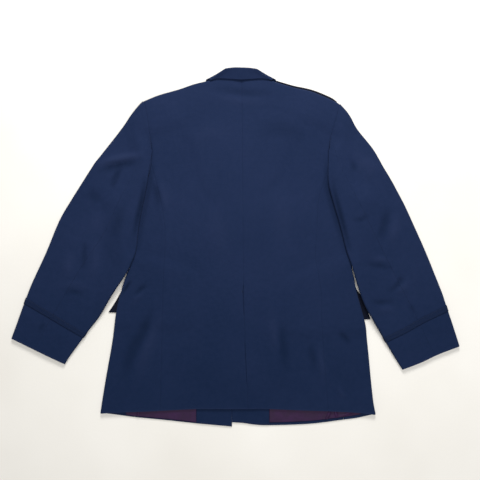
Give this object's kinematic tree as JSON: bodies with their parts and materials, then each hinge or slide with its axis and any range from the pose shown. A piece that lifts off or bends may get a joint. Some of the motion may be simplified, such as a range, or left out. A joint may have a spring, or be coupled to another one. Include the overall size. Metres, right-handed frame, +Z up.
{
  "type": "military service-dress jacket, laid face down",
  "caption": "Tailored military jacket lying face down with its sleeves spread: turned collar, centre vent, cuff braid, shoulder straps and metal front buttons.",
  "frame": {"origin": "on the surface that the jacket lies on, under the middle of its bounding box", "axes": "+Z up off the surface, so the jacket's back faces +Z; +Y from the hem towards the collar; +X towards the wearer's right sleeve"},
  "size_m": [1.0396, 0.8309, 0.0199],
  "materials": {
    "serge": "fine navy wool serge twill, matt with a faint sheen",
    "braid": "flat ribbed braid, slightly glossier than the cloth",
    "lining": "plum satin lining",
    "button": "plain domed metal"
  },
  "bodies": {
    "root": {"back_left": "serge", "back_right": "serge", "side_left": "serge", "side_right": "serge", "front_left": "serge", "front_right": "serge", "lapel_left": "serge", "lapel_right": "serge", "pocket_flap_left": "serge", "pocket_flap_right": "serge", "shoulder_strap_left": "serge", "shoulder_strap_right": "serge", "top_sleeve_left": "serge", "top_sleeve_right": "serge", "under_sleeve_left": "serge", "under_sleeve_right": "serge", "sleeve_braid_left": "braid", "sleeve_braid_right": "braid", "facing_left": "serge", "facing_right": "serge", "lining_left": "lining", "lining_right": "lining", "vent_underlap": "serge", "collar": "serge", "front_button_1": "button", "front_button_2": "button", "front_button_3": "button", "front_button_4": "button"}
  },
  "joints": []
}
